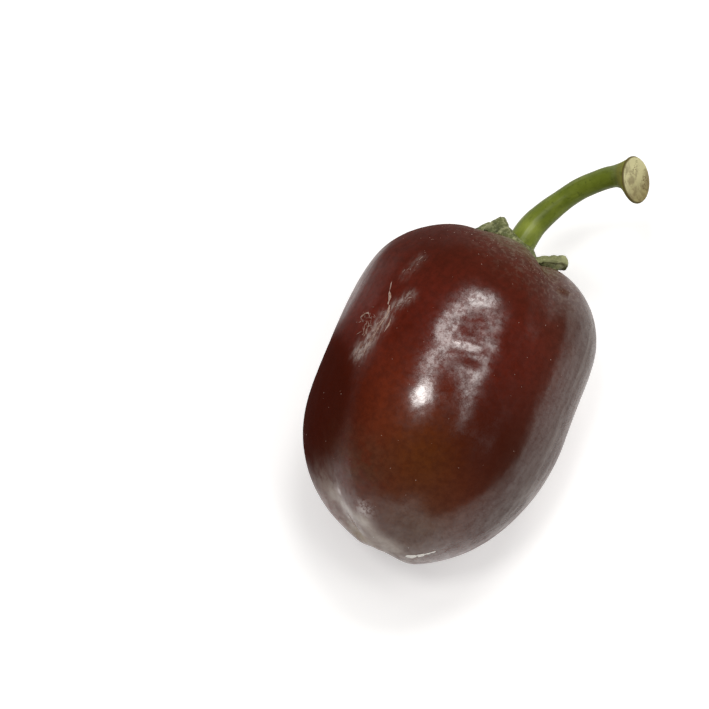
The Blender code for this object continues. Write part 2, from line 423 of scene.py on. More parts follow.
# %% Crumple and ripple the skin
def wrinkle_depth(place, number):
    """A fine crumple all over, and lengthwise ripples that are strongest on the right flank."""
    x, _, _ = parts(place)
    crumple = (cloud(place, 1.6, 3.0, 0.65) - 0.5) * number["Crumple"] * 2
    crumple = crumple + (cloud(place, 5.0, 1.0, 0.5, 50.0) - 0.5) * number["Crumple"] * 3
    flank = 0.15 + smoothstep(7.0, 13.0, x)
    ripple = (cloud(stretched(place, 9.0), 0.8, 2.0, 0.5, 30.0) - 0.5) * number["Ripple"] * flank
    return crumple + ripple


# %% Roll the grid up into the pod
def pod_tree(material):
    tree, number = shape_tree("pod_shape", POD)
    grid, turn, y = flat_grid(tree, number)
    end = y.calculate("SIGN", y)
    at_shoulders = y.calculate("GREATER_THAN", y, 0.0)
    tip = number["Tip Squareness"] + number["Tip Lean"] * cosine(turn)
    square = tip + at_shoulders * (number["Shoulder Squareness"] - tip)
    sweep = abs(y * 2) ** (square / 2) * (math.pi / 2)
    share = cosine(sweep)
    share = share.calculate("MAXIMUM", share, 0.0)
    along = end * sine(sweep) ** (2 / square)

    across = cosine(turn)
    up = sine(turn)
    half_width = number["Width"] / 2
    half_depth = number["Depth"] / 2
    half_length = number["Length"] / 2
    corner = number["Section Squareness"]
    full = (abs(across / half_width) ** corner + abs(up / half_depth) ** corner) ** (-1 / corner)
    radius = full * share
    place = vector_in(tree, (across * radius, along * half_length, up * radius))
    slope = end * square * abs(along) ** (square - 1) / half_length
    outward = unit(vector_in(tree, (share * across * 2 / half_width, slope, share * up * 2 / half_depth)))

    px, _, pz = parts(place)
    depth = crease_depth(turn, along, radius, full)
    depth = depth + dent_depth(turn, along, radius, half_length, DENTS)
    depth = depth + facet_depth(turn, along, radius, half_length)
    depth = depth + hollow_depth(px, pz, at_shoulders)
    depth = depth + wrinkle_depth(place, number)
    moved = vector_math("ADD", vector_math("SUBTRACT", place, scaled(outward, depth)), AXIS_PLACE)
    mx, my, mz = parts(moved)
    laid = vector_in(tree, (mx, my, mz.calculate("MAXIMUM", mz, 0.0)))
    roll_up(tree, grid, scaled(laid, MM), material)
    return tree


SKIN_CONSTANTS = {"Specular IOR Level": 0.0, "Coat IOR": 1.8, "Coat Roughness": 0.19}
pod_skin, skin_tree, skin_sockets = new_finish("pod_skin", SKIN_CONSTANTS)
pod = grow("pod_skin", bpy.data.meshes.new("pod_start"), pod_tree(pod_skin), POD)


# %% Measure it against the solid
def volume_of(piece):
    bm = bmesh.new()
    bm.from_mesh(piece.data)
    open_edges = sum(1 for edge in bm.edges if len(edge.link_faces) != 2)
    volume = bm.calc_volume(signed=True)
    bm.free()
    return volume, open_edges


def report_fit(piece, node):
    low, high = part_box(node)
    corners = [vert.co for vert in piece.data.vertices]
    below = [round((min(c[i] for c in corners) - low[i]) / MM, 2) for i in range(3)]
    above = [round((max(c[i] for c in corners) - high[i]) / MM, 2) for i in range(3)]
    volume, open_edges = volume_of(piece)
    print(piece.name, "against", node, below, above, "mm; volume", round(volume / MM**3), "open", open_edges)


report_fit(pod, "pod")

# %% [markdown]
# ## The pod's skin
#
# Under its wax the colour runs from oxblood to an olive amber where the pod was the last to ripen. The gloss
# comes from a clear coat alone. Where the wax is worn, dusty or crackled the coat gets thinner, so the same
# light gives a sharp highlight in one place and a dull one in the next. Dust lies on the shoulders, and pale
# bloom near the blossom end. Light and shade are painted into the colour as well: painted highlights along the
# ridge near the blossom end, a painted reflection streak on the left with a few pale marks above it, painted
# reflection streaks and a grey painted reflection tint along the right flank, and painted shade on the left
# flank and the left shoulder. Each patch is a soft mask round a place on the object, because painted images
# would have to be stored with the part.

# %% The skin's colours
OXBLOOD = (0.128, 0.0140, 0.0065, 1)
COCOA = (0.085, 0.0195, 0.0120, 1)
DARK = (0.042, 0.0055, 0.0020, 1)
AMBER = (0.130, 0.0310, 0.0032, 1)
RUSSET = (0.165, 0.0240, 0.0065, 1)
BROWN = (0.095, 0.0420, 0.0210, 1)
GREY_BROWN = (0.042, 0.0240, 0.0150, 1)
TAN = (0.26, 0.19, 0.105, 1)
DUST = (0.20, 0.14, 0.105, 1)
# Pale bloom that also paints highlight and reflection streaks, and a paler colour that paints them alone
BLOOM_SHEEN_COLOUR = (0.32, 0.26, 0.205, 1)
PALE_SHEEN_COLOUR = (0.68, 0.60, 0.58, 1)
GREEN_DUST = (0.20, 0.185, 0.110, 1)

# Places in millimetres, in the pepper's frame
SEAT_PLACE = (2.1, 15.0, 21.5)
# The first paints a reflection streak on the left flank; the others are pale marks further up
REFLECTION_STREAK = ((-11.2, -3.5, 28.8), (-12.7, -8.9, 27.6))
SMUDGE = ((-10.5, -1.6, 29.2), (-9.1, 0.3, 30.1))
FAINT_SMEAR = ((-10.9, 3.1, 28.5), (-9.8, 6.1, 28.6))
# A painted highlight along the crest of the fold near the blossom end
RIDGE = ((-8.8, -27.6, 21.0), (-3.8, -29.7, 23.6), (1.1, -31.3, 20.6))
# Along the right flank a greyer base is a painted reflection tint, and streaks along its edge paint reflections
RIGHT_FLANK = ((16.0, 6.0, 24.0), (15.0, -22.0, 23.0))
RIGHT_EDGE = ((17.0, 7.0, 21.0), (17.0, -20.0, 20.0))
LOW_END = ((-9.5, -27.0, 20.0), (2.0, -32.0, 18.5))
RUSSET_PLACE = (-6.0, -14.0, 31.0)
AMBER_PLACE = (1.0, -19.5, 31.0)
# Painted shade on the left flank
DARK_FLANK = (-17.0, -17.0, 21.0)
DARK_PLACE = (9.0, -14.0, 30.0)
# Painted shade on the left shoulder
DARK_SHOULDER = (-9.6, 9.5, 27.0)
BROWN_END = (3.0, -28.5, 24.0)
MOTTLED_PLACE = (-6.5, -23.0, 27.0)
TAN_SPOT = (-3.4, -31.0, 18.6)
DUSTY_PLACE = (4.5, 15.0, 21.0)
DULL_FLANK = (-17.0, -16.0, 21.0)
DULL_SIDE = (-14.0, -2.0, 27.0)
CRACKLED_PLACE = (0.0, -4.0, 32.0)
CLEAR_PLACE = (-3.0, -11.5, 32.3)

# Where the wax is worn: place, size, and how much of it is gone
UNWAXED = (
    ((1.0, -29.5, 23.8), 4.0, 0.45),
    (TAN_SPOT, 2.0, 0.60),
    ((1.2, -3.7, 32.7), 1.8, 0.60),
    ((0.3, -9.6, 32.6), 2.4, 0.90),
    ((0.7, -0.5, 32.6), 1.5, 0.75),
    ((3.7, -0.9, 32.3), 1.5, 0.85),
    ((7.6, -13.0, 30.6), 3.5, 0.95),
    ((8.3, 3.9, 29.7), 2.6, 0.85),
    ((-9.0, -20.5, 25.8), 3.0, 0.50),
)

# Painted highlights on the ridge: place and size
GLINTS = (((-8.4, -27.0, 22.8), 0.5), ((-4.3, -28.1, 25.2), 1.1))


def object_place(tree):
    """The place on the object in millimetres, from the pod's axis."""
    spot = tree.node("ShaderNodeTexCoord", None, None, "Object")
    return vector_math("SUBTRACT", scaled(spot, 1 / MM), AXIS_PLACE)


def distance_from(place, middle):
    """The distance from a place in the pepper's frame."""
    from_axis = tuple(m - a for m, a in zip(middle, AXIS_PLACE))
    return vector_math("DISTANCE", place, from_axis).also("Value")


def near(place, middle, size):
    """A soft mask round a place in the pepper's frame."""
    return bell(distance_from(place, middle), size)


def within(place, middle, inner, outer):
    """A mask that is full up to the inner distance from a place and gone past the outer one."""
    return 1 - smoothstep(inner, outer, distance_from(place, middle))


def beside(place, start, end, size):
    """A soft mask along the straight line from one place in the pepper's frame to another."""
    first = Vector(start) - Vector(AXIS_PLACE)
    span = Vector(end) - Vector(start)
    from_first = vector_math("SUBTRACT", place, tuple(first))
    share = clamp01(vector_math("DOT_PRODUCT", from_first, tuple(span)).also("Value") / span.length_squared)
    nearest = scaled(vector_in(place.tree, span), share)
    return bell(vector_math("DISTANCE", from_first, nearest).also("Value"), size)


def mix(factor, a, b):
    tree = factor.tree
    return tree.node("ShaderNodeMix", {"data_type": "RGBA"}, {"Factor": factor, "A": a, "B": b}, "Result")


def thin_lines(field, width):
    """Thin winding lines, where a noise passes through its middle."""
    return 1 - smoothstep(0.0, width, abs(field - 0.5))


def skin_colour(place, dusty, bloom_and_sheen):
    _, y, _ = parts(place)
    blotch = smoothstep(0.35, 0.65, cloud(place, 9.0, 3.0, 0.55, 4.0))
    speckle = smoothstep(0.3, 0.7, cloud(place, 0.5, 3.0, 0.65, 60.0))
    colour = mix(blotch * 0.35, OXBLOOD, DARK)
    colour = mix(smoothstep(4.0, 20.0, y) * (0.6 + speckle * 0.4), colour, COCOA)
    colour = mix(near(place, RUSSET_PLACE, 7.5) * 0.8, colour, RUSSET)
    colour = mix(near(place, AMBER_PLACE, 6.5) * 0.95, colour, AMBER)
    # Painted shade on the left flank
    colour = mix(within(place, DARK_FLANK, 7.0, 15.0) * 0.9, colour, DARK)
    colour = mix(near(place, DARK_PLACE, 8.0) * 0.8, colour, DARK)
    # Painted shade on the left shoulder
    colour = mix(near(place, DARK_SHOULDER, 4.5) * 0.35, colour, DARK)
    # A grey painted reflection tint along the right flank
    colour = mix(beside(place, *RIGHT_FLANK, 7.5) * 0.75, colour, GREY_BROWN)
    colour = mix(near(place, BROWN_END, 7.5) * 0.9, colour, BROWN)
    mottled = smoothstep(0.35, 0.6, cloud(place, 1.2, 4.0, 0.7, 90.0))
    colour = mix(near(place, MOTTLED_PLACE, 5.0) * (0.25 + mottled * 0.55), colour, BROWN)
    colour = mix(speckle * 0.40, colour, DARK)
    colour = mix(dusty, colour, DUST)
    colour = mix(within(place, SEAT_PLACE, 3.0, 9.0) * (0.2 + speckle * 0.6), colour, GREEN_DUST)
    colour = mix(near(place, TAN_SPOT, 2.4) * 0.85, colour, TAN)
    # Bloom, with painted highlights and painted reflection streaks mixed in
    return mix(bloom_and_sheen, colour, BLOOM_SHEEN_COLOUR)


def bloom_and_sheen_masks(place, fine, streaks):
    """Bloom, painted highlights and painted reflections at a place, and the palest painted sheen there."""
    fibres = smoothstep(0.42, 0.62, cloud(stretched(place, 2.5), 0.35, 4.0, 0.7, 21.0))
    # A painted reflection streak on the left flank, and pale marks further up
    smears_and_sheen = beside(place, *REFLECTION_STREAK, 1.1) + beside(place, *SMUDGE, 0.8) * 0.7
    smears_and_sheen = (smears_and_sheen + beside(place, *FAINT_SMEAR, 0.8) * 0.2) * (0.15 + fibres * 0.75)
    # Painted highlights along the ridge's crest, and its glints
    ridge = beside(place, *RIDGE[:2], 1.1) + beside(place, *RIDGE[1:], 1.1)
    glints = near(place, *GLINTS[0]) + near(place, *GLINTS[1]) * smoothstep(0.35, 0.6, fine)
    low_end = beside(place, *LOW_END, 3.5)
    # Painted reflection streaks along the right edge
    right_edge = beside(place, *RIGHT_EDGE, 5.2)
    # Real bloom at the low end, a painted highlight on the ridge, painted reflection streaks on the right edge
    # and left
    bloom_and_sheen = low_end * (0.15 + smoothstep(0.35, 0.65, streaks) * 0.30) + ridge * 0.50
    bloom_and_sheen = bloom_and_sheen + right_edge * (0.04 + smoothstep(0.35, 0.75, streaks) * 0.20)
    bloom_and_sheen = bloom_and_sheen + smears_and_sheen * 0.6
    # Paler still and all painted: the glints, the ridge's highlight and the left reflection streak
    pale_sheen = glints * 0.7 + ridge * fine * 0.35 + smears_and_sheen * fine * 0.8
    return clamp01(bloom_and_sheen), clamp01(pale_sheen)


def wax_left(place):
    """How much wax is left: little on the left flank and the shoulders, all of it low on their left rim."""
    x, y, z = parts(place)
    waxed = 1 - within(place, DULL_FLANK, 8.0, 15.0) * 0.97
    waxed = waxed * (1 - within(place, DULL_SIDE, 4.0, 9.0) * 0.7)
    waxed = waxed * (1 - smoothstep(8.0, 15.0, y) * (1 - smoothstep(7.0, 11.0, x)) * 0.88)
    rim = (1 - smoothstep(4.0, 7.5, z)) * smoothstep(3.0, 7.0, y) * (1 - smoothstep(14.0, 18.0, y))
    rim = rim * (1 - smoothstep(-9.0, -5.0, x))
    waxed = waxed + rim * (1 - waxed)
    for middle, size, share in UNWAXED:
        waxed = waxed * (1 - near(place, middle, size) * share)
    return waxed


def wax_gloss(place, fine, streaks):
    """The gloss of whole wax: crackled on top of the pod, and smooth elsewhere."""
    _, y, _ = parts(place)
    patches = cloud(place, 1.1, 5.0, 0.7, 12.0)
    crazed = near(place, CRACKLED_PLACE, 13.0) * (1 - near(place, CLEAR_PLACE, 1.2))
    cracks = thin_lines(cloud(place, 0.8, 4.0, 0.7, 71.0), 0.030)
    gloss = smoothstep(0.40, 0.56, patches * 0.4 + fine * 0.6) * (1 - cracks * 0.7)
    smooth = 0.45 + smoothstep(0.3, 0.7, streaks) * 0.25 + near(place, CLEAR_PLACE, 1.5) * 0.4
    smooth = (smooth + (1 - smoothstep(-21.5, -17.0, y)) * 0.30) * (1 - cracks * 0.35)
    return smooth + crazed * (0.25 + gloss * 0.75 - smooth)


def skin_finish():
    place = object_place(skin_tree)
    fine = cloud(place, 0.35, 4.0, 0.7, 33.0)
    streaks = cloud(stretched(place, 7.0), 0.6, 3.0, 0.6, 8.0)
    dusty = within(place, DUSTY_PLACE, 4.0, 15.0) * (0.13 + smoothstep(0.48, 0.62, fine) * 0.6)
    bloom_and_sheen, pale_sheen = bloom_and_sheen_masks(place, fine, streaks)
    # The bloom mask carries painted highlights and reflection streaks too, and the pale one only those
    feed(mix(pale_sheen, skin_colour(place, dusty, bloom_and_sheen), PALE_SHEEN_COLOUR), skin_sockets["Base Color"])
    feed(wax_left(place) * wax_gloss(place, fine, streaks), skin_sockets["Coat Weight"])
    feed(0.45 + fine * 0.2, skin_sockets["Roughness"])
    feed_relief(skin_tree, fine + streaks, 0.5, 0.12, skin_sockets)


skin_finish()
print("pod_skin", len(pod_skin.node_tree.nodes), "nodes")

# %% [markdown]
# ## Scars and specks
#
# A ripe pod carries old scratches that have healed into thin ridges of tan cork, and a sprinkle of pale
# specks. Each scratch is a path on the skin, given by its angle round the pod and its place along it, so
# Geometry Nodes sweep a thin tapering thread along it. One thick white thread at the blossom end is no scar:
# it is a painted highlight on the edge of the dimple. Round them lie many short wisps, too many to place by
# hand, so they are drawn at random in narrow bands, from a fixed seed. The specks repeat without a rule, so
# Geometry Nodes scatter them, denser towards the calyx, and lay them flat on the skin.

# %% The scratches' numbers
# Half-thickness at the thick end, then places from the thin end as the angle round the pod and the distance
# along it
SCRATCHES = (
    (0.21, (137.4, 10.3), (136.6, 9.4), (135.9, 8.7), (134.3, 8.0), (133.8, 7.1), (132.2, 6.7), (131.4, 5.6)),
    (0.09, (134.6, 1.0), (133.6, 2.7), (132.6, 4.0), (131.6, 5.2), (130.6, 6.4)),
    (0.10, (128.9, 3.0), (128.1, 4.0), (128.4, 5.2)),
    (0.12, (146.8, 4.3), (144.7, 5.0), (142.8, 5.2), (141.4, 4.9)),
    # A painted highlight: a thick white crescent on the edge of the blossom end's dimple, laid on as cork
    (0.38, (37.5, -20.8), (40.5, -21.9), (44.5, -22.7), (52.0, -23.1), (62.0, -23.2)),
)
SCRATCH = {"Thickness": 1.0, "Bend": 0.35}
STEP_ALONG_SCRATCH = 0.15
HIGHEST_SCRATCH = 0.21

# Both ends of a band of wisps, its half-width in mm, how many there are, and how far they turn, in radians
WISPS = (
    ((131.5, 5.6), (138.8, -0.8), 1.10, 60, 0.35),
    ((129.6, 6.6), (123.0, 9.2), 0.80, 20, 0.35),
    ((131.8, 11.0), (128.0, 15.0), 0.80, 14, 0.35),
    ((146.0, 4.9), (138.5, 3.2), 1.40, 44, 0.80),
)
WISP_LENGTH = (0.3, 1.4)
WISP_THICKNESS = (0.012, 0.036)
WISP_SEED = 5
MM_PER_DEGREE = 0.29

SPECKS = {"Density": 0.07, "Smallest": 0.03, "Largest": 0.07, "Near Calyx": 12.0, "Seed": 7}


# %% Lay the scratches on the skin
def skin_under(skin, degrees, along, sunk):
    """The place at an angle round the axis and a distance in mm along it, sunk this many mm in the skin."""
    turn = math.radians(degrees)
    start = Vector(AXIS_PLACE) + Vector((0, along, 0))
    outward = Vector((math.cos(turn), 0, math.sin(turn)))
    hit, _, _, _ = skin.ray_cast(start * MM, outward)
    return hit - outward * sunk * MM


def wisps():
    """Short fine scratches at random in their bands, written as the scratches are."""
    draw = random.Random(WISP_SEED)
    found = []
    for (turn_a, along_a), (turn_b, along_b), half_width, count, spread in WISPS:
        heading = math.atan2(along_b - along_a, (turn_b - turn_a) * MM_PER_DEGREE)
        for _ in range(count):
            share = draw.random()
            turn = turn_a + (turn_b - turn_a) * share + draw.gauss(0, half_width / 2) / MM_PER_DEGREE
            along = along_a + (along_b - along_a) * share + draw.gauss(0, half_width / 2)
            length = draw.uniform(*WISP_LENGTH)
            way = heading + draw.gauss(0, spread)
            end = (turn + length * math.cos(way) / MM_PER_DEGREE, along + length * math.sin(way))
            found.append((draw.uniform(*WISP_THICKNESS), (turn, along), end))
    return found


def scratch_curve(skin):
    curve = bpy.data.curves.new("scratch_paths", "CURVE")
    curve.dimensions = "3D"
    for thickness, *knots in (*SCRATCHES, *wisps()):
        places = []
        sunk = max(0.0, thickness - HIGHEST_SCRATCH)
        for (turn_a, along_a), (turn_b, along_b) in zip(knots, knots[1:]):
            run = math.hypot((turn_b - turn_a) * MM_PER_DEGREE, along_b - along_a)
            steps = max(3, round(run / STEP_ALONG_SCRATCH))
            for i in range(steps):
                share = i / steps
                places.append((turn_a + (turn_b - turn_a) * share, along_a + (along_b - along_a) * share))
        add_line(curve, [skin_under(skin, *place, sunk) for place in places], thickness)
    return curve


def scratch_tree(material):
    tree, number = shape_tree("scratch_sweep", SCRATCH)
    share = tree.node("GeometryNodeSplineParameter", None, None, "Factor")
    spot = scaled(tree.node("GeometryNodeInputPosition"), 1 / MM)
    taper = share ** 0.8 * (1 - share ** 9.0)
    own = tree.node("GeometryNodeInputRadius") * number["Thickness"]
    thick = own * (0.15 + taper) * clamp01(cloud(spot, 0.4, 2.0, 0.6) * 3 - 0.7) * 1.6
    wander = vector_math("SUBTRACT", cloud_colour(spot, 0.7), (0.5, 0.5, 0.5))
    bent = tree.node("GeometryNodeSetPosition", None, {
        "Geometry": number["Geometry"], "Offset": scaled(wander, number["Bend"] * MM)})
    ring = {"Resolution": 6, "Radius": MM}
    profile = tree.node("GeometryNodeCurvePrimitiveCircle", {"mode": "RADIUS"}, ring)
    sweep = {"Curve": bent, "Profile Curve": profile, "Scale": thick, "Fill Caps": True}
    end_tree(tree, tree.node("GeometryNodeCurveToMesh", None, sweep), material)
    return tree


SCAR_TAN = (0.30, 0.17, 0.12, 1)
SCAR_PALE = (0.50, 0.37, 0.31, 1)
# White that paints a highlight at the blossom end
PAINTED_HIGHLIGHT_WHITE = (0.80, 0.77, 0.73, 1)


def cork_finish():
    """Tan cork, and near the blossom end a white that paints a highlight."""
    cork, tree, sockets = new_finish("scar_cork", {"Roughness": 0.75})
    place = object_place(tree)
    _, y, _ = parts(place)
    colour = mix(smoothstep(0.35, 0.65, cloud(place, 0.4, 3.0, 0.6)), SCAR_TAN, SCAR_PALE)
    # Near the blossom end the cork turns white: a painted highlight
    feed(mix(1 - smoothstep(-20.5, -19.5, y), colour, PAINTED_HIGHLIGHT_WHITE), sockets["Base Color"])
    feed_relief(tree, cloud(place, 0.12, 2.0, 0.6), 0.5, 0.05, sockets)
    return cork


bm = bmesh.new()
bm.from_mesh(pod.data)
skin_surface = BVHTree.FromBMesh(bm)
bm.free()
scar_cork = cork_finish()
scratches = grow("pod_scratches", scratch_curve(skin_surface), scratch_tree(scar_cork), SCRATCH)


# %% Scatter the specks
def speck_tree(material):
    tree, number = shape_tree("speck_scatter", SPECKS)
    spot = tree.node("GeometryNodeInputPosition")
    _, y, z = parts(scaled(spot, 1 / MM))
    thick_of = 0.6 + smoothstep(6.0, 15.0, y) * number["Near Calyx"]
    density = number["Density"] * thick_of * smoothstep(6.0, 16.0, z) / MM**2
    points = tree.node("GeometryNodeDistributePointsOnFaces", {"distribute_method": "RANDOM"}, {
        "Mesh": number["Geometry"], "Density": density, "Seed": number["Seed"]}, "Points")
    speck = tree.node("GeometryNodeMeshIcoSphere", None, {"Radius": MM, "Subdivisions": 1}, "Mesh")
    flat = tree.node("GeometryNodeTransform", None, {"Geometry": speck, "Scale": (1.0, 1.0, 0.45)})
    size = tree.node("FunctionNodeRandomValue", {"data_type": "FLOAT"}, {
        "Min": number["Smallest"], "Max": number["Largest"], "Seed": number["Seed"]}, "Value")
    placed = tree.node("GeometryNodeInstanceOnPoints", None, {
        "Points": points, "Instance": flat, "Rotation": points.also("Rotation"), "Scale": size})
    end_tree(tree, placed, material)
    return tree


specks = grow("pod_specks", pod.data.copy(), speck_tree(scar_cork), SPECKS)

# %% [markdown]
# ## The calyx
#
# The calyx is what is left of the flower's green cup: a thick rough disc with seven ragged lobes, two of
# which have crumpled into folds that stand over the pod's edge. It is laid on the skin ring by ring, from the
# middle of its underside, round its rim and up to the hub that the stem grows from. A ray finds the skin
# under each point, so this shape is made in Python, where the finished pod is at hand. Its green has painted
# shade in the hollows of the crumple and painted light on the crests, with real pale fuzz over them. One
# lobe is lightened with painted light and another darkened with painted shade.

# %% The calyx's numbers
CALYX_SIDES = 300
CALYX_RINGS = 46
DISC_RADIUS = 3.7
DISC_THICKNESS = 0.85
RIM_ROUNDING = 0.85
HUB_RADIUS = 1.9
HUB_FOOT = 1.5
HUB_HEIGHT = 1.9
BEYOND_SHOULDERS = 40
LOWEST_OVER_SKIN = 0.03

# Angle, reach past the disc, half-width in degrees, height of the fold, lift of the tip
LOBES = (
    (10, 3.7, 25, 0.6, 1.9),
    (84, 2.5, 28, 0.1, 0.1),
    (120, 1.4, 13, 0.9, 0.2),
    (146, 2.9, 17, 2.6, 0.3),
    (180, 3.5, 15, 2.3, 0.4),
    (238, 2.6, 21, 0.6, 0.9),
    (305, 2.8, 21, 0.9, 0.5),
)


# %% Lay the calyx on the skin
def smooth_share(low, high, value):
    share = min(1.0, max(0.0, (value - low) / (high - low)))
    return share * share * (3 - 2 * share)


def rough(x, y, z, size):
    """Noise from about -1 to 1 with blotches of about this size."""
    return noise.noise(Vector((x, y, z)) / size)


def lobes_at(degrees):
    """Reach of the rim from the centre at this angle, with the fold's height and the tip's lift there."""
    reach, fold, lift = DISC_RADIUS, 0.0, 0.0
    for middle, length, half_width, height, tip_lift in LOBES:
        away = (degrees - middle + 180) % 360 - 180
        close = math.exp(-abs(away / half_width) ** 1.8)
        reach += length * close
        fold += height * close
        lift += tip_lift * close
    turn = math.radians(degrees)
    ragged = rough(math.cos(turn) * 9, math.sin(turn) * 9, 3.0, 1.0)
    frayed = rough(math.cos(turn) * 24, math.sin(turn) * 24, 3.0, 1.0)
    return reach + 0.20 * ragged + 0.10 * frayed, fold, lift


def calyx_point(skin, degrees, ring):
    """Ring 0 is the middle of the underside, 1 the rim and 2 the middle of the top."""
    reach, fold, lift = lobes_at(degrees)
    share = 1 - abs(1 - ring) ** 1.15
    out = share * reach
    x = out * math.cos(math.radians(degrees)) + SEAT[0] + AXIS_PLACE[0]
    z = out * math.sin(math.radians(degrees)) + SEAT[1] + AXIS_PLACE[2]
    hit, _, _, _ = skin.ray_cast(Vector((x, BEYOND_SHOULDERS, z)) * MM, Vector((0, -1, 0)))
    ground = hit.y / MM
    from_hub = max(0.0, out - HUB_RADIUS) / (reach - HUB_RADIUS)
    hump = math.sin(math.pi * from_hub) ** 1.3
    raised = lift * smooth_share(0.3, 1.0, from_hub)
    slant = raised * (0.1 + 0.75 * smooth_share(0.6, 1.0, from_hub))
    under = 0.05 + 0.25 * fold * hump + slant
    thick = DISC_THICKNESS + 0.75 * fold * hump + raised - slant
    rim = max(0.0, 1 - (reach - out) / RIM_ROUNDING)
    thick *= math.sqrt(max(0.0, 1 - rim * rim))
    hub = HUB_HEIGHT * (1 - smooth_share(HUB_RADIUS, HUB_RADIUS + HUB_FOOT, out))
    crumple = 0.32 * rough(x, ground, z, 1.5) + 0.24 * rough(x, ground, z + 20, 0.6)
    crumple += 0.10 * rough(x, ground, z + 40, 0.25)
    crumple *= smooth_share(HUB_RADIUS + 0.3, HUB_RADIUS + 1.8, out)
    middle = under + thick / 2 + crumple
    level = middle + (thick / 2 + hub if ring > 1 else -thick / 2)
    return Vector((x, ground + max(level, LOWEST_OVER_SKIN), z)) * MM, crumple


def calyx_mesh(skin):
    bm = bmesh.new()
    folds = bm.verts.layers.float.new("fold")
    turns = [360 * i / CALYX_SIDES for i in range(CALYX_SIDES)]
    loops = []

    def add(degrees, ring):
        place, crumple = calyx_point(skin, degrees, ring)
        vert = bm.verts.new(place)
        vert[folds] = crumple
        return vert

    for k in range(1, 2 * CALYX_RINGS):
        loops.append([add(degrees, k / CALYX_RINGS) for degrees in turns])
    for lower, upper in zip(loops, loops[1:]):
        for i in range(CALYX_SIDES):
            bm.faces.new((lower[i], upper[i], upper[i - 1], lower[i - 1]))
    for loop, ring in ((loops[0], 0), (loops[-1], 2)):
        pole = add(0, ring)
        for i in range(CALYX_SIDES):
            bm.faces.new((loop[i], loop[i - 1], pole))
    bmesh.ops.recalc_face_normals(bm, faces=bm.faces[:])
    mesh = bpy.data.meshes.new("calyx_leaf")
    bm.to_mesh(mesh)
    bm.free()
    mesh.shade_smooth()
    return mesh


calyx = new_object("calyx_leaf", calyx_mesh(skin_surface))
report_fit(calyx, "calyx")


# %% The calyx's rough green
LEAF = (0.110, 0.125, 0.032, 1)
LEAF_PALE = (0.34, 0.35, 0.17, 1)
LEAF_DARK = (0.038, 0.044, 0.012, 1)
# A lobe lightened with painted light, and one darkened with painted shade
LIGHTENED_LOBE = (7.0, 14.5, 18.5)
SHADED_LOBE = (-2.8, 15.2, 19.8)


def leaf_finish():
    leaf, tree, sockets = new_finish("calyx_leaf", {"Roughness": 0.7})
    place = object_place(tree)
    fold = tree.node("ShaderNodeAttribute", {"attribute_name": "fold"}, None, "Fac")
    fuzz = smoothstep(0.48, 0.62, cloud(place, 0.22, 4.0, 0.75, 5.0))
    # Painted light on the crumple's crests and painted shade in its hollows
    colour = mix(smoothstep(0.02, 0.16, fold), LEAF, LEAF_PALE)
    colour = mix(1 - smoothstep(-0.18, -0.02, fold), colour, LEAF_DARK)
    colour = mix(smoothstep(0.5, 0.7, cloud(place, 0.7, 3.0, 0.6, 7.0)) * 0.35, colour, LEAF_DARK)
    # Painted light on the right lobe
    colour = mix(near(place, LIGHTENED_LOBE, 2.5) * 0.45, colour, LEAF_PALE)
    colour = mix(fuzz * 0.6, colour, LEAF_PALE)
    colour = mix(near(place, SHADED_LOBE, 1.6) * 0.4, colour, LEAF_DARK)
    feed(colour, sockets["Base Color"])
    feed_relief(tree, cloud(place, 0.25, 3.0, 0.6, 3.0), 1.0, 0.20, sockets)
    return leaf


calyx.data.materials.append(leaf_finish())

# %% [markdown]
# ## The stem
#
# The stem follows a path, so Geometry Nodes sweep it: a flat grid is rolled up round the sampled path. Its
# radius grows a little at the foot and flares at the far end, off centre, into the scar. The same grid runs
# on over the scar's face to the middle, so that the stem is one closed skin. It keeps three values on each
# point, and the finish reads them: green with streaks along the stalk, a paler collar and a corky face.

# %% The stem's numbers
STEM_START = (2.0, 24.05, -0.5)
STEM_PATH = (
    (0.0, 0.0, 0.0),
    (0.0, 1.2, 0.0),
    (0.7, 4.1, 0.2),
    (2.5, 7.5, 1.0),
    (4.8, 10.6, 2.4),
    (7.4, 12.7, 4.3),
    (9.4, 13.7, 5.9),
    (11.0, 14.2, 7.4),
)
STEM = {
    "Radius": 1.55,
    "Foot Radius": 2.05,
    "Foot Length": 0.55,
    "Scar Radius": 3.35,
    "Flare Length": 3.6,
    "Flare Power": 2.0,
    "Ridges": 5.0,
    "Ridge Height": 0.012,
    "Sides": 128,
    "Rings": 200,
}
SCAR_SHIFT = (0.489, -0.770, -0.266)

# Shares of the grid's length at which the cap under the foot ends and the scar's face starts
FOOT_CAP = 0.02
STALK_END = 0.80

# The sizes in mm that the patterns take the stalk and the scar's face to have
PATTERN_RADIUS = 3.0
PATTERN_LENGTH = 21
FACE_RADIUS = 3.3


# %% Sweep the stem along its path
def path_curve(name, start, points):
    curve = bpy.data.curves.new(name, "CURVE")
    curve.dimensions = "3D"
    add_line(curve, [[(a + b + c) * MM for a, b, c in zip(point, start, AXIS_PLACE)] for point in points])
    return curve


def kept(tree, geometry, name, value, kind="FLOAT"):
    """The geometry with a value kept on its points under a name, for the finish to read."""
    settings = {"data_type": kind, "domain": "POINT"}
    sockets = {"Geometry": geometry, "Name": name, "Value": value}
    return tree.node("GeometryNodeStoreNamedAttribute", settings, sockets)


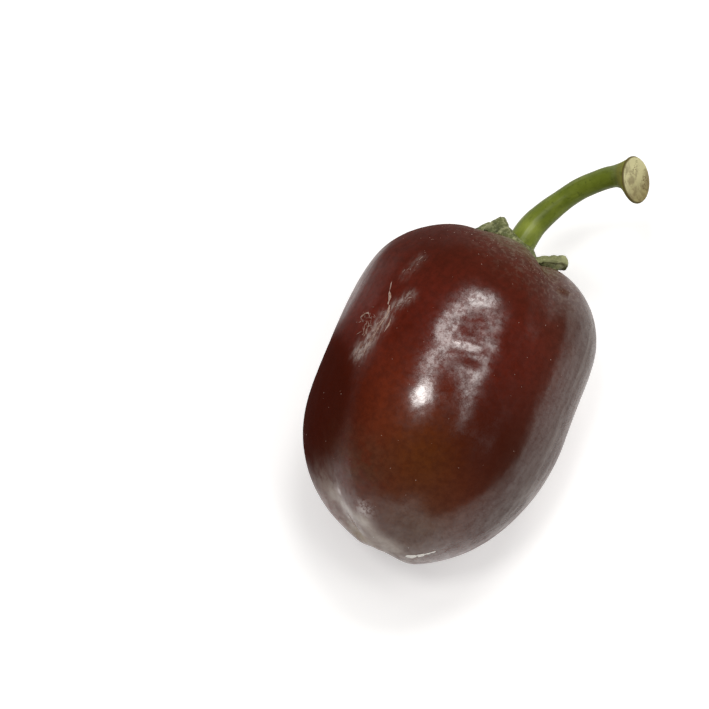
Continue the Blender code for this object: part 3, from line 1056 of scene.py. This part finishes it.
def stem_tree(material):
    tree, number = shape_tree("stem_sweep", STEM)
    smooth = {"spline_type": "CATMULL_ROM"}
    path = tree.node("GeometryNodeCurveSplineType", smooth, {"Curve": number["Geometry"]})
    path = tree.node("GeometryNodeSetSplineResolution", None, {"Geometry": path, "Resolution": 30})
    length = tree.node("GeometryNodeCurveLength", None, {"Curve": path}) / MM
    grid, turn, y = flat_grid(tree, number)
    way = y + 0.5
    rise = clamp01(way / FOOT_CAP)
    walk = clamp01((way - FOOT_CAP) / (STALK_END - FOOT_CAP))
    inward = clamp01((way - STALK_END) / (1 - STALK_END))

    stop = {"Curves": path, "Factor": walk}
    sampled = tree.node("GeometryNodeSampleCurve", {"mode": "FACTOR"}, stop, "Position")
    heading = sampled.also("Tangent")
    upright = vector_in(tree, (0.0, 0.0, 1.0))
    lean = vector_math("DOT_PRODUCT", heading, upright).also("Value")
    side = unit(vector_math("SUBTRACT", upright, scaled(heading, lean)))
    across = vector_math("CROSS_PRODUCT", side, heading)

    foot = 1 - smoothstep(0.0, number["Foot Length"], walk)
    left = (1 - walk) * length / number["Flare Length"]
    flare = clamp01(1 - left) ** number["Flare Power"]
    radius = number["Radius"] + (number["Foot Radius"] - number["Radius"]) * foot
    radius = radius + (number["Scar Radius"] - number["Radius"]) * flare
    ridge = cosine(turn * number["Ridges"])
    radius = radius * (1 + ridge * number["Ridge Height"] * (1 - flare))
    around = vector_math("ADD", scaled(side, cosine(turn)), scaled(across, sine(turn)))
    ring = scaled(around, PATTERN_RADIUS)
    spot = vector_math("ADD", ring, scaled(sampled, 1 / MM))
    radius = radius + (cloud(spot, 1.8, 2.0, 0.5) - 0.5) * 0.16
    radius = radius + (cloud(spot, 0.5, 2.0, 0.5, 5.0) - 0.5) * 0.05

    lip = smoothstep(0.0, 0.06, inward) * 0.30
    dish = smoothstep(0.05, 0.45, inward) * 0.22
    relief = cloud(scaled(around, (1 - inward) * FACE_RADIUS), 0.9, 3.0, 0.6, 11.0) - 0.5
    relief = relief * 0.35 * smoothstep(0.05, 0.2, inward)
    forward = lip - dish + relief
    offset = vector_math("ADD", scaled(around, radius * rise * (1 - inward)), scaled(heading, forward))
    offset = vector_math("ADD", offset, scaled(vector_in(tree, SCAR_SHIFT), flare))
    place = vector_math("ADD", sampled, scaled(offset, MM))

    lengthwise = vector_math("ADD", ring, vector_in(tree, (0.0, 0.0, walk * PATTERN_LENGTH)))
    marked = kept(tree, grid, "inward", inward)
    marked = kept(tree, marked, "flare", flare)
    marked = kept(tree, marked, "around", lengthwise, "FLOAT_VECTOR")
    roll_up(tree, marked, place, material)
    return tree


stem_skin, stem_shader, stem_sockets = new_finish("stem_skin", {"Specular IOR Level": 0.25})
stem = grow("stem_skin", path_curve("stem_path", STEM_START, STEM_PATH), stem_tree(stem_skin), STEM)
report_fit(stem, "stem")


# %% The stem's green and the scar's cork
STEM_GREEN = (0.112, 0.150, 0.008, 1)
STEM_PALE = (0.200, 0.245, 0.030, 1)
STEM_DARK = (0.050, 0.070, 0.005, 1)
STEM_COLLAR = (0.255, 0.245, 0.035, 1)
# A painted highlight at the stem's foot
FOOT_HIGHLIGHT_GREEN = (0.360, 0.420, 0.085, 1)
FOOT_PLACE = (2.4, 18.4, 17.6)
CORK_PALE = (0.64, 0.60, 0.33, 1)
CORK = (0.30, 0.26, 0.11, 1)
CORK_DARK = (0.13, 0.085, 0.035, 1)
CORK_RIM = (0.10, 0.075, 0.02, 1)

# From the pod's axis: the middle of the scar's face, and the way towards its older, browner side
SCAR_MIDDLE = (13.6, 37.6, 6.7)
TO_OLD_CORK = (0.75, -0.60, -0.25)


def cork_colour(place):
    from_middle = vector_math("SUBTRACT", place, SCAR_MIDDLE)
    fall = vector_math("DOT_PRODUCT", from_middle, TO_OLD_CORK).also("Value")
    marks = smoothstep(0.42, 0.62, cloud(place, 0.9, 4.0, 0.65, 2.0) + fall * 0.03)
    fibres = thin_lines(cloud(place, 1.1, 4.0, 0.6, 9.0), 0.02)
    fibres = fibres * smoothstep(0.35, 0.6, cloud(place, 1.5, 1.0, 0.5, 40.0))
    colour = mix(smoothstep(-2.0, 3.0, fall), CORK_PALE, CORK)
    colour = mix(marks * 0.55, colour, CORK_DARK)
    return mix(fibres * 0.85, colour, CORK_DARK)


def stem_finish():
    tree = stem_shader
    place = object_place(tree)
    inward = tree.node("ShaderNodeAttribute", {"attribute_name": "inward"}, None, "Fac")
    flare = tree.node("ShaderNodeAttribute", {"attribute_name": "flare"}, None, "Fac")
    lengthwise = tree.node("ShaderNodeAttribute", {"attribute_name": "around"}, None, "Vector")
    streak = vector_math("MULTIPLY", lengthwise, (1.0, 1.0, 0.25))
    colour = mix(smoothstep(0.35, 0.7, cloud(place, 2.2, 3.0, 0.6)) * 0.8, STEM_GREEN, STEM_PALE)
    colour = mix(smoothstep(0.45, 0.7, cloud(streak, 0.8, 3.0, 0.6, 7.0)) * 0.4, colour, STEM_DARK)
    colour = mix(smoothstep(0.55, 0.72, cloud(place, 0.3, 3.0, 0.6, 17.0)) * 0.5, colour, STEM_DARK)
    # A painted highlight at the stem's foot
    colour = mix(near(place, FOOT_PLACE, 1.5) * (0.4 + cloud(streak, 0.4) * 0.5), colour, FOOT_HIGHLIGHT_GREEN)
    collar = smoothstep(0.02, 0.5, flare)
    marks = smoothstep(0.45, 0.62, cloud(streak, 0.5, 3.0, 0.65, 27.0))
    colour = mix(collar * 0.8, colour, STEM_COLLAR)
    colour = mix(collar * marks * 0.4, colour, STEM_DARK)
    on_rim = smoothstep(0.0, 0.01, inward) * (1 - smoothstep(0.03, 0.09, inward))
    on_face = smoothstep(0.01, 0.06, inward)
    colour = mix(on_face, colour, cork_colour(place))
    colour = mix(on_rim * 0.9, colour, CORK_RIM)
    feed(colour, stem_sockets["Base Color"])
    rough_share = 0.46 + clamp01(on_face + collar) * 0.4 - near(place, FOOT_PLACE, 1.8) * 0.18
    feed(rough_share, stem_sockets["Roughness"])
    height = cloud(streak, 0.35, 2.0, 0.5) + on_face * cloud(place, 0.3, 3.0, 0.6)
    feed_relief(tree, height, 0.6, 0.12, stem_sockets)


stem_finish()
print("stem_skin", len(stem_skin.node_tree.nodes), "nodes")

# %% [markdown]
# ## The table and the light
#
# The pepper lies on a plain pale table that glows faintly, as an overexposed one does in a photo. Wax shows a
# light as its mirror image, so six oval softboxes hang where the parts of the large highlight mirror them: a
# bar towards the stem, two arms, a bridge between them, a spot and a tail. They hang far off, so that they
# light the table evenly. The room is pale near the horizon, where the wax mirrors it along the pod's flanks,
# higher up on one side, and dark overhead, which keeps the skin deep.

# %% A pale table
FLOOR_RADIUS = 4.0
GAP_UNDER_PEPPER = 0.02


def table():
    bm = bmesh.new()
    bmesh.ops.create_circle(bm, cap_ends=True, segments=96, radius=FLOOR_RADIUS)
    bmesh.ops.translate(bm, vec=(0, 0, -GAP_UNDER_PEPPER * MM), verts=bm.verts[:])
    mesh = bpy.data.meshes.new("table")
    bm.to_mesh(mesh)
    bm.free()
    return new_object("table", mesh)


PAPER = {
    "Roughness": 0.8,
    "Base Color": (0.80, 0.80, 0.80, 1),
    "Emission Color": (1.0, 1.0, 1.0, 1),
    "Emission Strength": 0.45,
}
floor = table()
paper, _, _ = new_finish("paper", PAPER)
floor.data.materials.append(paper)

# %% Soft studio light
PEPPER = Vector((0.0, -0.009, 0.02))
LIGHT_DISTANCE = 3.0
WARM_WHITE = (1.0, 0.98, 0.955)

# Name, the directions it reaches from and to as x and y, width in m, watts
SOFTBOXES = (
    ("stem_side", (-0.20, 0.45), (0.13, 0.50), 0.56, 28.0),
    ("left_arm", (-0.12, 0.43), (-0.33, 0.15), 0.52, 9.2),
    ("left_spot", (-0.26, 0.09), (-0.19, -0.07), 0.50, 19.0),
    ("bridge", (-0.04, 0.22), (0.34, 0.155), 0.50, 8.0),
    ("right_arm", (0.18, 0.42), (0.44, 0.04), 0.75, 10.8),
    ("right_tail", (0.40, 0.06), (0.56, -0.14), 0.50, 3.0),
)


def direction_of(x, y):
    """The upward direction with this x and y."""
    return Vector((x, y, math.sqrt(1 - x * x - y * y)))


def soft_light(name, start, end, width, watts):
    """An oval softbox over the pepper. It reaches from one direction to another and faces the pepper."""
    light = bpy.data.lights.new(name, "AREA")
    light.shape = "ELLIPSE"
    first = direction_of(*start)
    last = direction_of(*end)
    outward = (first + last).normalized()
    length = last - first
    light.size = length.length * LIGHT_DISTANCE
    light.size_y = width
    light.energy = watts
    light.color = WARM_WHITE
    lamp = new_object(name, light)
    along = length.normalized()
    turned = Matrix((along, outward.cross(along), outward)).transposed()
    lamp.location = PEPPER + outward * LIGHT_DISTANCE
    lamp.rotation_euler = turned.to_euler()


for softbox in SOFTBOXES:
    soft_light(*softbox)
print(len(SOFTBOXES), "softboxes")

# %% A room that is pale near the horizon
ROOM_DARK = (0.05, 0.05, 0.05, 1)
ROOM_PALE = (1.00, 0.985, 0.93, 1)
ROOM_LEFT = (0.35, 0.34, 0.33, 1)


def room():
    world = bpy.data.worlds.new("room")
    world.use_nodes = True
    tree = Tree(world.node_tree)
    direction = tree.node("ShaderNodeTexCoord", None, None, "Generated")
    x, y, z = parts(direction)
    to_stem_side = smoothstep(-0.05, 0.35, y) * smoothstep(0.2, 0.6, x)
    top = 0.02 + smoothstep(0.2, 0.9, y * -1) * 0.26 + to_stem_side * 0.23
    low = 1 - smoothstep(0.0, 0.20, z - top)
    leftward = smoothstep(-0.1, 0.7, x * -1)
    colour = mix(low, ROOM_DARK, mix(leftward, ROOM_PALE, ROOM_LEFT))
    feed(colour, world.node_tree.nodes["Background"].inputs["Color"])
    bpy.context.scene.world = world


room()
bpy.context.scene.view_settings.view_transform = "Standard"

# %% [markdown]
# ## The camera
#
# It looks down from 80 degrees above the table, turned 22 degrees round to the side, through a long lens.

# %% Place the camera
AZIMUTH = math.radians(22)
ELEVATION = math.radians(80)
FOCAL_LENGTH = 100.0
SENSOR = 36.0
IMAGE_SIDE = 709
PIXEL = 0.1406 * MM
POD_PIXEL = (444.0, 397.5)

back = Vector((
    math.sin(AZIMUTH) * math.cos(ELEVATION),
    -math.cos(AZIMUTH) * math.cos(ELEVATION),
    math.sin(ELEVATION),
))
right = Vector((math.cos(AZIMUTH), math.sin(AZIMUTH), 0))
above = back.cross(right)
pod_low, pod_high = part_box("pod")
pixels_right = POD_PIXEL[0] - IMAGE_SIDE / 2
pixels_down = POD_PIXEL[1] - IMAGE_SIDE / 2
target = (pod_low + pod_high) / 2
target = target - right * pixels_right * PIXEL + above * pixels_down * PIXEL
distance = IMAGE_SIDE * PIXEL * FOCAL_LENGTH / SENSOR

lens = bpy.data.cameras.new("camera")
lens.lens = FOCAL_LENGTH
lens.sensor_width = SENSOR
lens.clip_start = 0.01
camera = new_object("camera", lens)
camera.location = target + back * distance
camera.rotation_euler = back.to_track_quat("Z", "Y").to_euler()
bpy.context.scene.camera = camera
print("camera", round(distance / MM), "mm from its target")

# %% [markdown]
# ## Back to the frame
#
# Pod, calyx and stem each stand for one solid of the imported model. The scratches and the specks have no solid
# of their own: they ride with the pod.

# %% Tie the pieces to the frame
for piece, node in ((pod, "pod"), (calyx, "calyx"), (stem, "stem")):
    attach(piece, "root")
    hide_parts(node)
for piece in (scratches, specks):
    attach(piece, "root")
